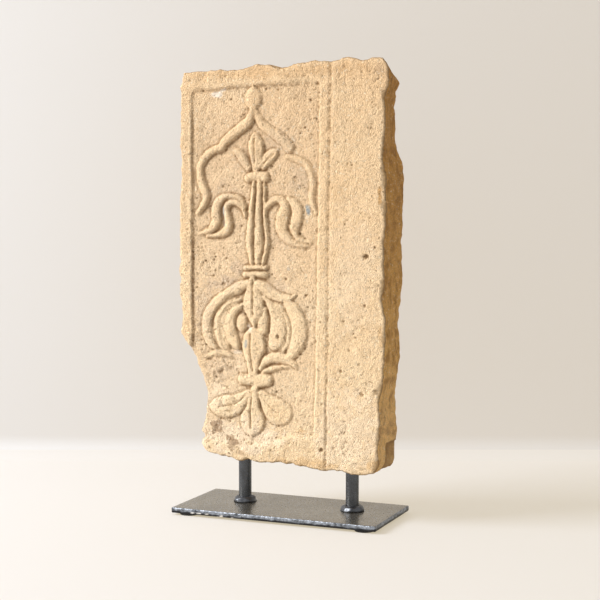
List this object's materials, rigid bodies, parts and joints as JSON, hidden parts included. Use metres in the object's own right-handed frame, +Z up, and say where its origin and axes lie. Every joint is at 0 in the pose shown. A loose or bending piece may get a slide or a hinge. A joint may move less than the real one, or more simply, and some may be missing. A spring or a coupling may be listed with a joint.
{
  "type": "carved sandstone panel fragment on a steel stand",
  "caption": "Slab of carved sandstone with an arch and a flowering plant in low relief, held upright by rods on a flat steel base.",
  "frame": {"origin": "on the ground under the middle of the base plate", "axes": "+Z up, +Y to the back, the carved face looks towards -Y"},
  "size_m": [0.2047, 0.093, 0.4146],
  "materials": {
    "sandstone": "weathered warm tan sandstone, coarse grain with small pits",
    "steel": "blackened steel, satin, slightly mottled",
    "weld_metal": "blackened weld bead, lumpy and glossy",
    "pad_rubber": "dull black"
  },
  "bodies": {
    "root": {"carved_stone": "sandstone", "base_plate": "steel", "rod_left": "steel", "rod_right": "steel", "weld_left": "weld_metal", "weld_right": "weld_metal", "foot_pad_front_left": "pad_rubber", "foot_pad_front_right": "pad_rubber", "foot_pad_back_left": "pad_rubber", "foot_pad_back_right": "pad_rubber"}
  },
  "joints": []
}
